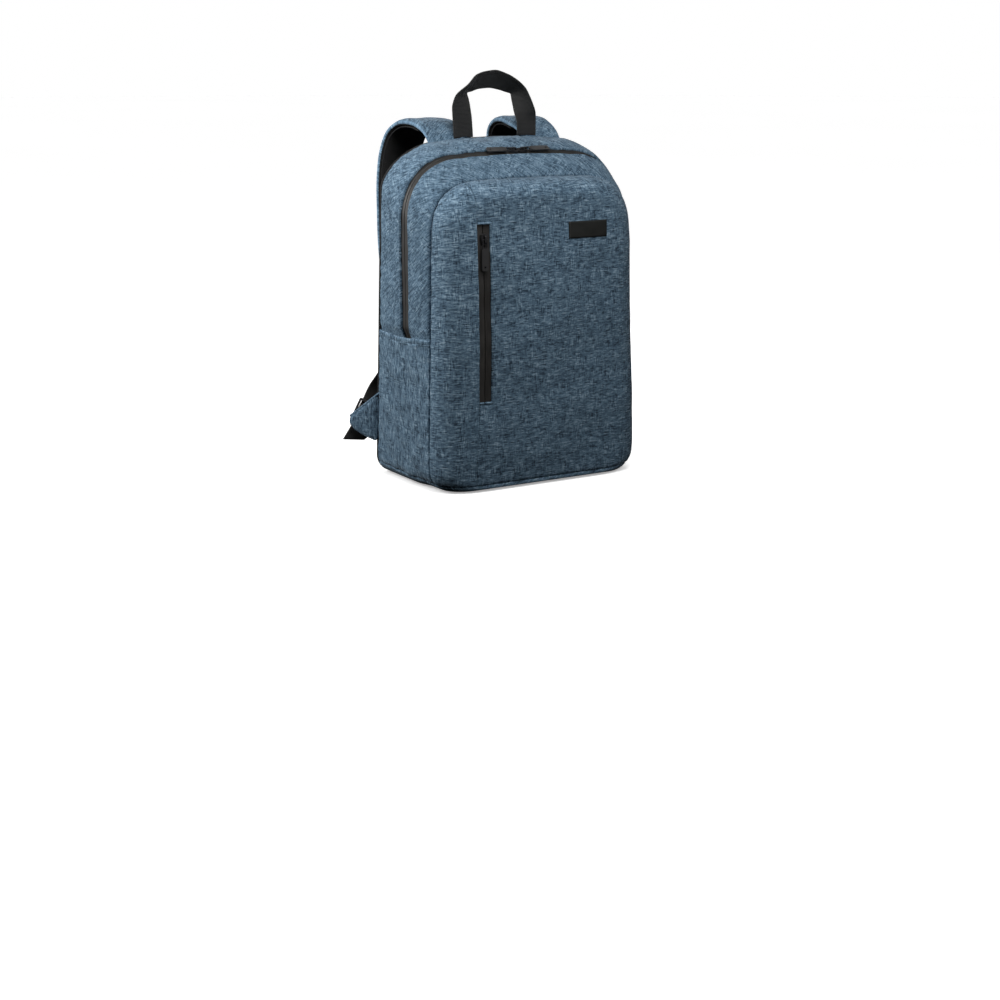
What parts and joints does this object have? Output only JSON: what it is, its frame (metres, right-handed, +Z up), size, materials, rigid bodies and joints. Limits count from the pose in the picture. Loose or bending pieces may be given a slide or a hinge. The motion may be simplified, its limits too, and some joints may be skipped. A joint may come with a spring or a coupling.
{
  "type": "laptop backpack",
  "caption": "Slim laptop backpack with a domed front panel, a side pocket zip, a zipped gusset, open side pockets, a webbing handle and padded shoulder straps.",
  "frame": {"origin": "on the floor under the middle of the base", "axes": "+Z up, -Y towards the front panel, +X to the right seen from the front"},
  "size_m": [0.3798, 0.2387, 0.513],
  "materials": {
    "cloth": "matte",
    "zip_tape": "satin",
    "webbing": "matte",
    "mesh": "matte",
    "patch": "matte",
    "slider": "satin",
    "pull": "matte",
    "buckle": "matte"
  },
  "bodies": {
    "bag": {"front_panel_left": "cloth", "front_panel_right": "cloth", "front_zip_tape_left": "zip_tape", "front_zip_tape_right": "zip_tape", "front_zip_slider": "slider", "label_patch": "patch", "gusset_front": "cloth", "gusset_rear": "cloth", "main_zip_tape_front": "zip_tape", "main_zip_tape_rear": "zip_tape", "main_zip_slider_left": "slider", "main_zip_slider_right": "slider", "side_wall_left": "cloth", "side_wall_right": "cloth", "side_pocket_left": "cloth", "side_pocket_right": "cloth", "pocket_hem_left": "cloth", "pocket_hem_right": "cloth", "base_panel": "cloth", "back_panel": "mesh", "handle": "webbing", "strap_pad_left": "cloth", "strap_pad_right": "cloth", "strap_mesh_left": "mesh", "strap_mesh_right": "mesh", "anchor_wing_left": "cloth", "anchor_wing_right": "cloth", "anchor_loop_left": "webbing", "anchor_loop_right": "webbing", "ladder_lock_left": "buckle", "ladder_lock_right": "buckle", "lower_webbing_left": "webbing", "lower_webbing_right": "webbing"},
    "front_pull": {"front_zip_pull_link": "slider", "front_zip_pull_tab": "pull"},
    "main_pull_left": {"main_zip_pull_link_left": "slider", "main_zip_pull_tab_left": "pull"},
    "main_pull_right": {"main_zip_pull_link_right": "slider", "main_zip_pull_tab_right": "pull"}
  },
  "joints": [
    {"name": "front_pull_hinge", "type": "hinge", "parent": "bag", "child": "front_pull", "pos_m": [-0.0885, -0.07981, 0.3145], "axis": [-1, 0, 0], "range_deg": [0, 170]},
    {"name": "main_pull_hinge_left", "type": "hinge", "parent": "bag", "child": "main_pull_left", "pos_m": [-0.0028, -0.004, 0.41597], "axis": [0, 0.8721, 0.4894], "range_deg": [0, 95]},
    {"name": "main_pull_hinge_right", "type": "hinge", "parent": "bag", "child": "main_pull_right", "pos_m": [0.0118, -0.004, 0.41597], "axis": [0, -0.8721, -0.4894], "range_deg": [0, 95]}
  ]
}
